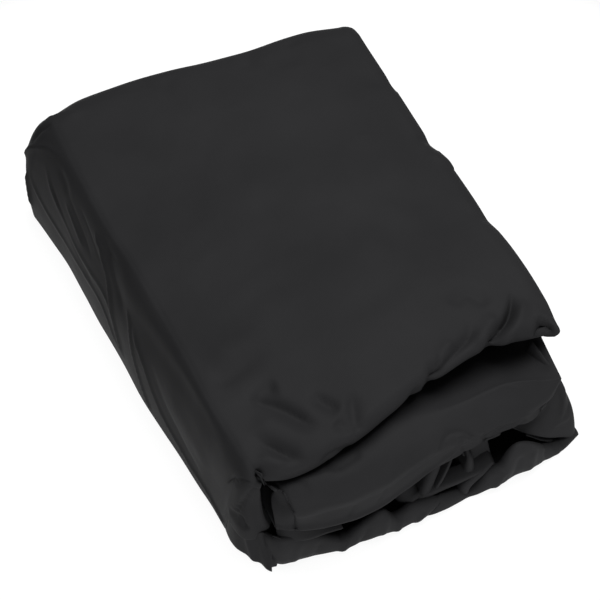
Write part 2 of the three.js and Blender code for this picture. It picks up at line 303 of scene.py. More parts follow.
def lip_start(x):
    """y where the top begins to turn down to the front fold."""
    return through(LIP, "x", x, "nose") + lip_reach(x)


def crown_height(x, y):
    """Height of the top without its creases: a low crown that droops to the front fold."""
    across = 1 - np.minimum(1, ((x - CROWN_CENTRE[0]) / CROWN_HALF[0]) ** 2)
    along = 1 - np.minimum(1, ((y - CROWN_CENTRE[1]) / CROWN_HALF[1]) ** 4)
    lip = through(LIP, "x", x, "nose")
    droop = FRONT_DROOP * (1 - smooth(y, lip, lip + DROOP_REACH))
    return TOP_Z + CROWN * across * along - droop


# Sections of the rounded sides, from the top (share 0) to the foot (share 1). out: how far out, in shares of
# the side's widest; drop: how far down, in shares of the height. The closed fold's long wall slopes, its
# front end is steep, and so is the back.
LONG_WALL = rows(
    ("share", "out", "drop"),
    (0.00, 0.0, 0.000),
    (0.08, 0.21, 0.018),
    (0.20, 0.45, 0.085),
    (0.34, 0.69, 0.215),
    (0.46, 0.84, 0.345),
    (0.55, 0.92, 0.450),
    (0.64, 0.97, 0.560),
    (0.82, 1.00, 0.780),
    (1.00, 0.95, 1.000),
)
FRONT_WALL = rows(
    ("share", "out", "drop"),
    (0.00, 0.0, 0.000),
    (0.08, 0.30, 0.020),
    (0.16, 0.53, 0.070),
    (0.24, 0.69, 0.150),
    (0.40, 0.87, 0.345),
    (0.60, 0.96, 0.575),
    (0.75, 1.00, 0.740),
    (0.88, 0.98, 0.870),
    (1.00, 0.93, 1.000),
)
BACK_WALL = rows(
    ("share", "out", "drop"),
    (0.00, 0.0, 0.000),
    (0.14, 0.39, 0.027),
    (0.28, 0.69, 0.100),
    (0.42, 0.87, 0.205),
    (0.55, 0.96, 0.340),
    (0.70, 1.00, 0.550),
    (0.85, 0.97, 0.780),
    (1.00, 0.85, 1.000),
)
# y where the long wall's section begins to change to the steep one, and where it has changed
STEEP_FROM = -66.0
STEEP_TO = -112.0
# How far out the back stands
BACK_OUT = 25.5
# The wall's front end stops short of the floor: by which share of its section, and over which y
LIFTED_SHARE = 0.25
LIFT_FROM = -133.0
LIFT_TO = -142.0
# How much of a side lies flat over its shoulder and below it, how quickly the shoulder is passed, and the
# step that its slope is measured over
SHOULDER_RUN = 30
SHOULDER_QUICK = 3
WALL_RUN = 66
SLOPE_STEP = 0.02


def rounded_side(share, y, way, height):
    """A rounded side's section: how far out and how far down. way is 0 on the left side and a right angle on
    the back."""
    steep = smooth(y, STEEP_FROM, STEEP_TO)
    behind = way / (math.pi / 2)
    wall = through(SIDES, "y", y, "wall")
    share = share * (1 - LIFTED_SHARE * smooth(y, LIFT_FROM, LIFT_TO) * (1 - behind))
    out, drop = 0, 0
    for table, widest, weight in (
        (LONG_WALL, wall, (1 - steep) * (1 - behind)),
        (FRONT_WALL, wall, steep * (1 - behind)),
        (BACK_WALL, BACK_OUT, behind),
    ):
        out = out + weight * widest * through(table, "share", share, "out")
        drop = drop + weight * (height - FOOT_Z) * through(table, "share", share, "drop")
    return out, drop


def outer_sheet_points(u, v):
    """The outer sheet and its flat places. u: left wall's foot -1, top 0 to 1, right edge 2. v: the front
    fold's leg -1, top 0 to 1, back wall's foot 2."""
    p, q = np.clip(u, 0, 1), np.clip(v, 0, 1)
    # the top, and the right edge's turn
    guess = lerp(SIDES["left"][0], SIDES["right"][0], p)
    y0 = lerp(lip_start(guess), through(BACK, "x", guess, "y"), q)
    x = lerp(through(SIDES, "y", y0, "left"), through(SIDES, "y", y0, "right"), p)
    over = np.maximum(0, u - 1) * RIGHT_TURN
    flat_x = x + RIGHT_RADIUS * over
    x = x + RIGHT_RADIUS * np.sin(over)
    y = lerp(lip_start(x), through(BACK, "x", x, "y"), q)
    z = crown_height(x, y)
    thick = through(LIP, "x", x, "thick")
    flat_y = y.copy()

    # the left wall, the back, and the corner between them
    left, back = np.maximum(0, -u), np.maximum(0, v - 1)
    edge = np.maximum(left, back)
    way = np.arctan2(back, left)
    side = edge > 0
    out, drop = rounded_side(edge, y, way, z)
    near_out, near_drop = rounded_side(np.maximum(edge - SLOPE_STEP, 0), y, way, z)
    far_out, far_drop = rounded_side(np.minimum(edge + SLOPE_STEP, 1), y, way, z)
    turn = np.arctan2(far_drop - near_drop, far_out - near_out)
    length = SHOULDER_RUN * (1 - np.exp(-edge * SHOULDER_QUICK)) + edge * WALL_RUN
    fuller = 1 + CORNER_FULLER * np.sin(2 * way)
    nx = np.where(side, -np.sin(turn), 0)
    nz = np.where(side, np.cos(turn), 1)
    x = x - np.where(side, out * fuller * np.cos(way), 0)
    y = y + np.where(side, out * fuller * np.sin(way), 0)
    z = z - np.where(side, drop, 0)
    flat_x = flat_x - np.where(side, length * np.cos(way), 0)
    flat_y = flat_y + np.where(side, length * np.sin(way), 0)

    z = z - RIGHT_RADIUS * (1 - np.cos(over))
    nx = np.where(u > 1, np.sin(over), nx)
    nz = np.where(u > 1, np.cos(over), nz)

    # the roll at the front end
    ahead = np.maximum(0, -v)
    on_wall = smooth(left, 0, ON_WALL)
    foot = smooth(left, FOOT_FROM, 1)
    reach = lerp(lerp(lip_reach(x), NOSE_REACH_WALL, on_wall), NOSE_REACH_FOOT, foot)
    roll = math.pi * np.minimum(1, ahead / NOSE_SHARE)
    leg = np.maximum(0, ahead - NOSE_SHARE) / (1 - NOSE_SHARE) * lerp(LIP_LEG, WALL_LEG, on_wall)
    forward = np.maximum(np.sin(roll), 0) ** lerp(1, NOSE_FULLNESS, on_wall)
    y = y - reach * forward + leg
    x = x + through(SLIT_EDGE, "share", left, "x") * smooth(ahead, *SLIT_TURN)
    inward = (thick / 2) * (1 - np.cos(roll))
    x, z = x - nx * inward, z - nz * inward
    flat_y = flat_y - (roll * (reach + thick / 2) / 2 + leg)
    return np.stack([x, y, z], -1), np.stack([flat_x, flat_y], -1)


# How a crease is drawn: the steps of its line between two points, how many half widths out it is felt, how
# quickly a pressed one falls off, how quickly a step rises and how far out it fades, and the least share of
# the path that a crease begins over
CREASE_STEPS = 14
CREASE_REACH = 3.2
SHARP_FALL = 1.6
STEP_RISE = 2
STEP_WIDE = 9.0
LEAST_FADE = 1e-6


def crease(path, deep, half, sharp=0.3, step=0.0, fade=(0.25, 0.25)):
    """A crease along a path of flat places, deep inwards (a ridge where deep is below zero), with its own
    half width on the left and right of the path. sharp is 0 for a soft bell and 1 for a pressed crease. step
    lifts the cloth on the left of the path above that on its right. fade is the share of the path over which
    it begins, and over which it ends."""
    return {"path": path, "deep": deep, "half": half, "sharp": sharp, "step": step, "fade": fade}


def smooth_path(points, steps):
    """A smooth line through points."""
    points = np.array(points, float)
    ends = np.vstack([2 * points[0] - points[1], points, 2 * points[-1] - points[-2]])
    line = []
    for i in range(len(points) - 1):
        a, b, c, d = ends[i : i + 4]
        t = np.linspace(0, 1, steps, endpoint=False)[:, None]
        line.append(
            0.5 * (2 * b + (c - a) * t + (2 * a - 5 * b + 4 * c - d) * t**2 + (3 * b - a - 3 * c + d) * t**3)
        )
    return np.vstack([*line, points[-1:]])


def relief(flat, creases):
    """How far the creases lift the cloth at each flat place."""
    shape = flat.shape[:-1]
    places = flat.reshape(-1, 2)
    lift = np.zeros(len(places))
    for c in creases:
        line = smooth_path(c["path"], CREASE_STEPS)
        wide = CREASE_REACH * max(*c["half"], STEP_WIDE if c["step"] else 0)
        near = np.all((places > line.min(0) - wide) & (places < line.max(0) + wide), axis=1)
        if not near.any():
            continue
        # the nearest place on the crease's line
        here = places[near]
        start, way = line[:-1], np.diff(line, axis=0)
        length = np.linalg.norm(way, axis=1)
        gone = np.concatenate([[0], np.cumsum(length)])
        share = np.einsum("nsk,sk->ns", here[:, None] - start, way) / length**2
        share = np.clip(share, 0, 1)
        gap = here[:, None] - (start + share[..., None] * way)
        away = np.linalg.norm(gap, axis=2)
        best = np.argmin(away, axis=1)
        pick = np.arange(len(here))
        away, gap, way_here = away[pick, best], gap[pick, best], way[best]
        left = np.sign(way_here[:, 0] * gap[:, 1] - way_here[:, 1] * gap[:, 0])
        run = (gone[best] + share[pick, best] * length[best]) / gone[-1]
        # its lift there
        begin, end = np.array(c["fade"]) + LEAST_FADE
        fade = smooth(run, 0, begin) * smooth(1 - run, 0, end)
        t = away / np.where(left > 0, *c["half"])
        bell = lerp(np.exp(-(t**2)), np.exp(-SHARP_FALL * t), c["sharp"])
        rise = 1 - np.exp(-away / min(c["half"]) * STEP_RISE)
        edge = 0.5 * left * rise * np.exp(-((away / STEP_WIDE) ** 2))
        lift[near] += fade * (-c["deep"] * bell + c["step"] * edge)
    return lift.reshape(shape)


# How many waves cross, and the shares of the given length that their lengths are in
WAVE_COUNT = 9
WAVE_SPREAD = (0.7, 1.5)


def waves(flat, seed, length, height):
    """Soft unevenness: a few crossing waves of about one length."""
    rng = np.random.default_rng(seed)
    lift = 0
    for _ in range(WAVE_COUNT):
        way = rng.uniform(0, math.pi)
        k = 2 * math.pi / (length * rng.uniform(*WAVE_SPREAD))
        phase = rng.uniform(0, 2 * math.pi)
        lift = lift + np.cos(k * (flat[..., 0] * math.cos(way) + flat[..., 1] * math.sin(way)) + phase)
    return height * lift / math.sqrt(WAVE_COUNT)


# The outer sheet's creases. Flat places are x and y on the top, and go on over the sides and the front fold
# as if the sheet were spread out.
TOP_CREASES = [
    # wrinkles above the near left corner
    crease([(-99, -104), (-87, -108), (-75, -114), (-65, -127), (-54, -147)], 5.2, (4.0, 8.5), 0.45,
           fade=(0.55, 0.3)),
    crease([(-84, -110), (-74, -105), (-64, -105)], 2.9, (5, 7), 0.2),
    crease([(-95, -128), (-87, -140), (-80, -150), (-70, -162)], 5.2, (3.6, 7), 0.5, fade=(0.5, 0.35)),
    crease([(-88, -118), (-73, -137), (-60, -155)], -2.1, (8, 9), 0.0),
    crease([(-93.9, -143), (-83, -158)], -1.6, (6, 5), 0.1),
    crease([(-25, -128), (-31, -141), (-35, -155)], 3.1, (5, 4), 0.4, fade=(0.4, 0.1)),
    crease([(-50, -117), (-44, -129), (-36, -138)], 3.6, (3.6, 6), 0.45, fade=(0.5, 0.3)),
    crease([(-45, -143), (-38, -153)], 2.1, (4, 4)),
    crease([(-96, -74), (-73, -68), (-44, -66)], -1.4, (10, 9), 0.0, fade=(0.3, 0.5)),
    crease([(-100, -86), (-84, -85), (-60, -78)], 2, (8, 6), 0.1, fade=(0.2, 0.6)),
    crease([(-64, -166), (-52, -163), (-38, -167)], 2.6, (4, 4)),
    # pleats that run into the top fold's nose at the right
    crease([(104, -97), (96, -111), (88, -119), (79, -124), (72, -130), (67, -142)], 7.2, (4.0, 2.6), 0.6,
           fade=(0.45, 0.05)),
    crease([(107, -108), (95, -122), (82, -131), (76, -141)], -2.3, (5, 5), 0.1),
    crease([(84, -112), (72, -121), (62, -131)], -1.6, (5, 5), 0.1),
    crease([(67, -108), (61, -120), (48, -127), (36, -134), (27, -141), (20, -152)], 5.2, (4.4, 3.4), 0.55,
           fade=(0.35, 0.05)),
    crease([(36, -124), (28, -134), (21, -150)], 3.6, (3.4, 3.4), 0.4, fade=(0.4, 0.05)),
    crease([(50, -120), (38, -128), (30, -136)], -2, (5, 5), 0.1),
    crease([(17, -138), (9, -149), (2, -158)], 3.1, (4, 3.4), 0.45, fade=(0.4, 0.1)),
    crease([(60, -99), (70, -92), (78, -96), (82, -107)], 2.3, (7, 5), 0.1),
    # the pocket in its right tip
    crease([(111, -124), (109, -128), (105, -134), (102, -139)], 5.0, (2.4, 3.4), 0.3, fade=(0.35, 0.1)),
    crease([(111.5, -127), (110.5, -134), (109.5, -141)], 8.0, (3.4, 4.4), 0.25, fade=(0.4, 0.2)),
    # long creases of the closed fold down the left wall, from the outermost in
    crease([(-160, 169), (-171, 148), (-178, 118), (-177, 78), (-176, 42), (-191, 14)], -0.9, (1.4, 2.0), 0.6,
           fade=(0.1, 0.1)),
    crease([(-140, 150), (-156, 130), (-167, 96), (-167, 67), (-166, 33), (-181, 20)], -1.0, (1.6, 2.2), 0.6,
           fade=(0.15, 0.1)),
    crease([(-147, 140), (-161, 116), (-171, 84), (-172, 50)], 0.5, (2.2, 2.2), 0.2, fade=(0.2, 0.2)),
    crease([(-134, 70), (-141, 57), (-151, 42), (-165, 28), (-176, 17), (-189, 8)], -1.7, (2.6, 1.8), 0.6,
           fade=(0.1, 0.1)),
    crease([(-127, 64), (-133, 49), (-141, 37), (-149, 23), (-158, 8)], 1.3, (9, 3.4), 0.25,
           fade=(0.15, 0.25)),
    crease([(-147, 11), (-154, 2), (-162, -5), (-179, -19), (-195, -31)], -1.2, (1.6, 1.8), 0.6,
           fade=(0.15, 0.05)),
    crease([(-151, -1), (-157, -10), (-163, -25), (-174, -39), (-183, -55), (-189, -82), (-189, -110),
           (-191, -136)], -1.4, (2.2, 1.6), 0.6, fade=(0.1, 0.03)),
    crease([(-152, -23), (-161, -38), (-171, -55), (-180, -81), (-181, -109)], 0.7, (4, 4), 0.1,
           fade=(0.3, 0.2)),
    crease([(-160, -49), (-164, -74), (-163, -98), (-168, -116)], -1.0, (9, 9), 0.0, fade=(0.3, 0.2)),
    crease([(-137, 109), (-148, 84), (-152, 61), (-152, 41), (-151, 18), (-146, -12), (-140, -49),
           (-136, -77), (-131, -108), (-134, -132)], 1.6, (10, 11), 0.0, fade=(0.15, 0.15)),
    crease([(-144, 63), (-135, 49), (-125, 37)], 0.7, (2.4, 3)),
    crease([(-133, 134), (-135, 121), (-144, 109)], 0.8, (4, 4), 0.1),
    crease([(-139, 115), (-149, 91), (-159, 63)], 0.6, (2.0, 2.4)),
    crease([(-135, 97), (-144, 71), (-153, 47)], 0.6, (1.8, 2.2)),
    crease([(-148, 115), (-155, 96), (-161, 76)], -0.8, (1.6, 1.6), 0.4),
    # facets of the back left corner
    crease([(-150, 196), (-138, 164), (-129, 152), (-119, 134)], -2.0, (4, 3.4), 0.6, fade=(0.05, 0.4)),
    crease([(-138, 180), (-121, 173), (-107, 165)], 2.2, (6, 5), 0.2, fade=(0.2, 0.4)),
    crease([(-160, 180), (-173, 172), (-187, 162)], -2.0, (4, 4), 0.4),
    crease([(-110, 195), (-96, 180), (-84, 160)], -1.3, (6, 7), 0.2),
    # the near left corner: a level crease, a diagonal fold with its hollow, the rolled rim beside the slit,
    # and the small round hole where the slit meets the gap under the top fold
    crease([(-155, -138), (-142, -145), (-135, -148), (-131, -154)], 1.5, (1.5, 1.5), 0.6, fade=(0.2, 0.1)),
    crease([(-134, -162), (-141, -158), (-155, -153), (-166, -149), (-181, -145), (-189, -145)], 2.0,
           (1.3, 1.6), 0.6, step=-1.8, fade=(0.1, 0.15)),
    crease([(-174, -149), (-180, -152), (-186, -157)], 2.4, (2.2, 2.6)),
    crease([(-124, -160), (-134, -161), (-156, -165), (-171, -167), (-183, -169), (-194, -171)], -3.2,
           (2.4, 2.0), 0.3, fade=(0.1, 0.1)),
    crease([(-107, -154), (-105.5, -157.5)], 15.0, (4.6, 4.4), 0.1, fade=(0.02, 0.02)),
    # dents of the back end
    crease([(43, 186), (42, 168), (36, 150)], 2.0, (8, 6), 0.2),
    crease([(78, 180), (72, 160), (66, 140)], 1.5, (8, 9), 0.1),
    crease([(-40, 190), (-30, 172), (-12, 158)], 1.2, (10, 9), 0.1),
    crease([(-60, 215), (-20, 222), (30, 214)], 1.8, (7, 8), 0.2),
    crease([(40, 240), (70, 228), (100, 232)], -1.8, (6, 7)),
    crease([(-90, 236), (-70, 224), (-40, 232)], -1.6, (6, 6)),
    # the right edge
    crease([(127, 36), (120, 42), (108, 50)], 2.0, (6, 5), 0.3, fade=(0.02, 0.5)),
    crease([(126, 14), (118, 24), (108, 30)], -1.4, (6, 6), 0.2, fade=(0.02, 0.5)),
    crease([(127, -40), (118, -36), (104, -20)], 1.2, (7, 7), 0.1, fade=(0.02, 0.5)),
    crease([(126, 100), (116, 104), (100, 120)], 1.0, (8, 8), 0.1, fade=(0.02, 0.5)),
    # soft dents and small nicks of the top
    crease([(26, -6), (46, -14), (58, -34), (48, -56), (20, -72), (-14, -82)], 1.6, (12, 14), 0.0),
    crease([(-4, 52), (42, -30)], 1.8, (34, 34), 0.0),
    crease([(-60, 130), (-20, 60), (30, 20)], -1.2, (18, 18), 0.0),
    crease([(-62, 20), (-40, -40)], -1.2, (24, 22), 0.0),
    crease([(70, 20), (104, -50)], 1.4, (18, 18), 0.0),
    crease([(13, 118), (4, 124)], -0.5, (1.6, 1.6), 0.5),
    crease([(86, 58), (74, 61)], -0.45, (1.6, 1.6), 0.5),
    crease([(-72, -15), (-82, -12)], -0.4, (1.6, 1.6), 0.5),
]

# The middle fold's creases. Flat places are x and the way over the fold from its nose: below zero on its rim
# and top, above zero down its face.
MIDDLE_CREASES = [
    # the turned-in left end
    crease([(-92, -26), (-91, -19), (-90, -3), (-87, 6), (-85, 19)], 2.4, (1.8, 2.4), 0.6, fade=(0.05, 0.05)),
    crease([(-96, -8), (-95, 2), (-92, 16)], -1.2, (3, 3), 0.2),
    # an arched wrinkle above the mouth, with a pinched fold inside it
    crease([(13, -1), (15, -4), (21, -8), (27, -8), (34, -5), (38, -1), (43, 5)], 1.5, (1.7, 2.4), 0.2,
           fade=(0.1, 0.2)),
    crease([(31, -2), (29, 1), (25, 7), (18, 11), (12, 14)], -1.6, (1.5, 1.7), 0.7, fade=(0.1, 0.3)),
    crease([(25, -4), (30, -4), (34, -1), (38, 4)], -1.0, (1.3, 1.5), 0.5, fade=(0.2, 0.3)),
    crease([(31, 5), (33, 11), (31, 17)], 1.0, (1.8, 1.8), 0.3, fade=(0.3, 0.1)),
    # hollows and ridges along it
    crease([(-58, -27), (-46, -28), (-34, -31)], 1.6, (4, 4), 0.1),
    crease([(-66, -10), (-51, -13), (-35, -15), (-18, -12)], 1.1, (5, 5), 0.0),
    crease([(-78, -21), (-67, -25), (-56, -27)], -1.3, (6, 6), 0.0),
    crease([(36, -24), (57, -23), (67, -22), (80, -14), (93, -1), (103, 15)], -1.0, (5, 6), 0.5,
           fade=(0.5, 0.02)),
    crease([(56, -1), (73, 0), (84, 4), (93, 10), (101, 22)], 1.4, (4, 4), 0.1),
    crease([(-82, 2), (-40, 3), (0, 3), (40, 4), (80, 6)], 1.1, (6, 5), 0.0, fade=(0.1, 0.1)),
    crease([(-32, 15), (-25, 0)], 0.9, (2.2, 2.2)),
    crease([(-52, 16), (-48, 4)], 0.8, (2, 2)),
    crease([(46, 15), (52, 3)], 0.9, (2.4, 2.4)),
    crease([(70, 13), (78, 6)], 0.7, (2.2, 2.2)),
]

# The creases of the bottom fold's face. Flat places are x and the height.
BOTTOM_CREASES = [
    crease([(-57, 0), (-53, 11)], 1.4, (2.4, 2.4), 0.3, fade=(0.1, 0.02)),
    crease([(-46, 1), (-38, 19)], -1.2, (2.6, 2.6)),
    crease([(-30, 2), (-27, 23)], 1.1, (2.6, 2.2)),
    crease([(-20, 1), (-17, 12)], 0.9, (2, 2)),
    crease([(-7, 1), (0, 10)], 1.2, (2.6, 2)),
    crease([(0, 1), (6, 7), (14, 12)], -1.6, (1.8, 1.8), 0.5),
    crease([(50, 2), (56, 16)], 1.2, (3, 2.6), 0.2),
    crease([(64, 3), (69, 26)], -1.4, (3.4, 3), 0.2),
    crease([(76, 2), (78, 24)], 1.0, (3, 3), 0.2),
    crease([(90, 1), (88, 15)], -0.9, (2.4, 2.4)),
    crease([(102, 1), (99, 10)], 0.8, (2.4, 2.4)),
    crease([(-88, 1), (-84, 24)], 1.0, (2.4, 2.4)),
    crease([(-76, 2), (-70, 18)], -0.9, (3, 3), 0.2),
]

# The corner panel's creases. Flat places are the way along its upper edge and down to its hem.
CORNER_CREASES = [
    crease([(54, 2), (48, 12), (43, 22), (40, 34)], -1.6, (2.6, 2.2), 0.4, fade=(0.1, 0.2)),
    crease([(60, 8), (54, 18), (48, 26), (44, 34)], 1.2, (2.2, 3)),
    crease([(34, 30), (42, 34), (48, 38)], -0.9, (1.8, 1.8), 0.4),
    crease([(10, 8), (24, 12), (36, 14)], 1.0, (4, 4), 0.1),
]


def unit(vectors):
    """Vectors brought to length 1."""
    return vectors / np.maximum(np.linalg.norm(vectors, axis=-1, keepdims=True), 1e-9)


def grid_normals(points):
    """The way outwards at each point of a grid on a sheet."""
    return unit(np.cross(np.gradient(points, axis=0), np.gradient(points, axis=1)))


def to_frame(points):
    """The maker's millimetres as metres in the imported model's frame."""
    return (points + np.array(FRAME_SHIFT)) * MM


def cloth(name, points, flat, thick):
    """A closed thin sheet from a grid of points on its outer face, with a rounded rim, and its flat places as
    a UV map in metres. The second result is its mean width and length in metres."""
    count_i, count_j = points.shape[:2]
    inner = points - grid_normals(points) * thick
    index = np.arange(count_i * count_j).reshape(count_i, count_j)
    # each face of the sheet is a copy of the grid, and the rim runs once round it, between them and outwards
    quads = np.stack([index[:-1, :-1], index[1:, :-1], index[1:, 1:], index[:-1, 1:]], -1).reshape(-1, 4)
    size = count_i * count_j
    rim = np.concatenate([index[:-1, 0], index[-1, :-1], index[:0:-1, -1], index[0, :0:-1]])
    i, j = np.divmod(rim, count_j)
    beside = index[np.clip(i, 1, count_i - 2), np.clip(j, 1, count_j - 2)]
    outer_flat, inner_flat = points.reshape(-1, 3), inner.reshape(-1, 3)
    middle = (outer_flat[rim] + inner_flat[rim]) / 2
    outwards = unit(middle - (outer_flat[beside] + inner_flat[beside]) / 2)
    middle = middle + outwards * thick / 2
    edge = np.arange(len(rim)) + 2 * size
    after = np.roll(np.arange(len(rim)), -1)
    band_out = np.stack([rim, edge, edge[after], rim[after]], -1)
    band_in = np.stack([edge, rim + size, rim[after] + size, edge[after]], -1)
    faces = np.vstack([quads, quads[:, ::-1] + size, band_out, band_in])
    places = np.vstack([outer_flat, inner_flat, middle])
    places[:, 2] = np.maximum(places[:, 2], FOOT_Z / 2)
    uv = np.vstack([flat.reshape(-1, 2), flat.reshape(-1, 2), flat.reshape(-1, 2)[rim]]) * MM

    mesh = bpy.data.meshes.new(name)
    mesh.from_pydata(to_frame(places).tolist(), [], faces.tolist())
    layer = mesh.uv_layers.new(name="cloth")
    corner = np.empty(len(mesh.loops), np.int32)
    mesh.loops.foreach_get("vertex_index", corner)
    layer.data.foreach_set("uv", uv[corner].ravel())
    mesh.polygons.foreach_set("use_smooth", np.ones(len(mesh.polygons), bool))
    mesh.update()
    mesh.validate()
    piece = bpy.data.objects.new(name, mesh)
    bpy.context.scene.collection.objects.link(piece)
    wide = np.linalg.norm(np.diff(points, axis=0), axis=2).sum(0).mean()
    long = np.linalg.norm(np.diff(points, axis=1), axis=2).sum(1).mean()
    return piece, (wide * MM, long * MM)


def stations(*zones):
    """Parameters of several zones in a row, each given as (from, to, count), with the last end."""
    parts = [np.linspace(a, b, n, endpoint=False) for a, b, n in zones]
    return np.concatenate([*parts, [zones[-1][1]]])


# The outer sheet's grid: its zones from the left wall's foot to the right edge, over the front fold and down
# the back, and its lines along the top, which stand closer together near the front
SHEET_ACROSS = ((-1, 0, 80), (0, 0.86, 88), (0.86, 1, 30), (1, 2, 8))
SHEET_FRONT = (-1, 0, 30)
SHEET_TOP_LINES = 150
CLOSER_AT_FRONT = 1.35
SHEET_BACK = (1, 2, 44)


def outer_sheet():
    top = np.linspace(0, 1, SHEET_TOP_LINES, endpoint=False) ** CLOSER_AT_FRONT
    along = np.concatenate([stations(SHEET_FRONT)[:-1], top, stations(SHEET_BACK)])
    u, v = np.meshgrid(stations(*SHEET_ACROSS), along, indexing="ij")
    points, flat = outer_sheet_points(u, v)
    lift = relief(flat, TOP_CREASES)
    lift = lift + waves(flat, seed=3, length=95, height=0.5) + waves(flat, seed=4, length=34, height=0.14)
    points = points + grid_normals(points) * lift[..., None]
    return cloth("outer_sheet", points, flat, OUTER_THICK)


def arc_lengths(points, axis):
    """The way along a grid's lines to each point."""
    steps = np.linalg.norm(np.diff(points, axis=axis), axis=2)
    first = np.zeros_like(np.take(steps, [0], axis=axis))
    return np.concatenate([first, np.cumsum(steps, axis=axis)], axis=axis)


# The middle fold's grid: its lines across up to the left end, those of the end, and its zones of w
MIDDLE_LINES = 150
MIDDLE_END_LINES = 30
MIDDLE_ZONES = ((0, 0.3, 24), (0.3, 0.95, 86), (0.95, 1, 6))


def middle_fold():
    x = np.concatenate([
        np.linspace(MIDDLE["x"][-1], MIDDLE_END_FROM, MIDDLE_LINES, endpoint=False),
        np.linspace(MIDDLE_END_FROM, MIDDLE["x"][0], MIDDLE_END_LINES),
    ])
    x, w = np.meshgrid(x, stations(*MIDDLE_ZONES), indexing="ij")
    low, top = through(MIDDLE, "x", x, "low"), through(MIDDLE, "x", x, "top")
    right = smooth(x, SLANT_FROM, SLANT_TO)
    part = {name: through(MIDDLE_SECTION, "w", w, name) for name in MIDDLE_SECTION if name != "w"}
    rim = through(MIDDLE, "x", x, "rim") / RIM_BACK
    back = lerp(part["back"] * lerp(1, rim, smooth(w, NOSE_W, RIM_W)), part["right_back"], right)
    # where the right part is thin its rim stands closer to the nose
    closer = np.maximum(0, 1 - rim)
    back = back - closer * np.minimum(back, RIM_BACK) * right * (w < LOW_W)
    y = through(MIDDLE, "x", x, "nose") + back
    z = low + lerp(part["rise"], part["right_rise"], right) * (top - low)
    # the left end turns in, and the right end gets wider
    end = (x - MIDDLE_END_FROM) / (MIDDLE["x"][0] - MIDDLE_END_FROM)
    x = np.where(end > 0, lerp(MIDDLE_END_FROM, through(MIDDLE_END, "w", w, "end"), end), x)
    y = y + through(MIDDLE_END, "w", w, "slope") * np.maximum(0, through(MIDDLE_END, "w", w, "crease") - x)
    wider = smooth(x, MIDDLE["x"][-1] - MIDDLE_WIDER_OVER, MIDDLE["x"][-1])
    wider = wider * np.clip(back / MIDDLE_WIDER_BY, 0, 1) * (w < MIDDLE_WIDER_TO_W)
    x = x + MIDDLE_WIDER * wider
    points = np.stack([x, y, z], -1)
    run = arc_lengths(points, 1)
    nose = np.argmin(np.abs(w[0] - NOSE_W))
    flat = np.stack([x, run - run[:, nose : nose + 1]], -1)
    lift = relief(flat, MIDDLE_CREASES)
    lift = lift + waves(flat, seed=12, length=60, height=0.5) + waves(flat, seed=13, length=24, height=0.2)
    points = points + grid_normals(points) * lift[..., None]
    return cloth("middle_fold", points, flat, FOLD_THICK)


# The bottom fold's grid: its lines across, and its zones of w
BOTTOM_LINES = 190
BOTTOM_ZONES = ((0, 0.5, 40), (0.5, 0.62, 10), (0.62, 0.92, 44), (0.92, 1, 8))


def bottom_fold():
    """The bottom fold with the ply that runs back from it under the bundle."""
    x = np.linspace(BOTTOM["x"][-1], BOTTOM["x"][0], BOTTOM_LINES)
    x, w = np.meshgrid(x, stations(*BOTTOM_ZONES), indexing="ij")
    nose = through(BOTTOM, "x", x, "nose")
    under = np.clip(1 - w / UNDER_W, 0, 1)
    # the ply's back end is straight, whatever the nose does
    straight = under * (UNDER_END - nose - BOTTOM_SECTION["back"][0])
    y = nose + through(BOTTOM_SECTION, "w", w, "back") + straight
    z = FOOT_Z + through(BOTTOM_SECTION, "w", w, "rise") * through(BOTTOM, "x", x, "top")
    points = np.stack([x, y, z], -1)
    lift = relief(np.stack([x, z], -1), BOTTOM_CREASES) * smooth(w, *BOTTOM_FACE_W)
    points = points + grid_normals(points) * lift[..., None]
    flat = np.stack([x, arc_lengths(points, 1)], -1)
    return cloth("bottom_fold", points, flat, FOLD_THICK)


# The open right side: one cloth that goes back and forth up the side, its folds a little apart. Where it lies
# along the length and up the side, how much shorter it is at its top, how many levels it has, x of its inner
# and outer folds, the round part of each fold, and how far that stands out in shares of a round one
SIDE_Y = (-112.0, 176.0)
SIDE_Z = (2.6, 76.5)
SIDE_SHORTER = 9.0
SIDE_LEVELS = 32
SIDE_INNER = 62.0
SIDE_OUTER = 117.5
SIDE_TURN = 4
SIDE_TURN_FULLER = 1.5
# Its grid: points along a level's straight run and round its turn, and lines along the length
SIDE_RUN_POINTS = 7
SIDE_TURN_POINTS = 7
SIDE_LINES = 70
# How unlike two neighbouring levels' outer folds are
SIDE_UNLIKE = 6


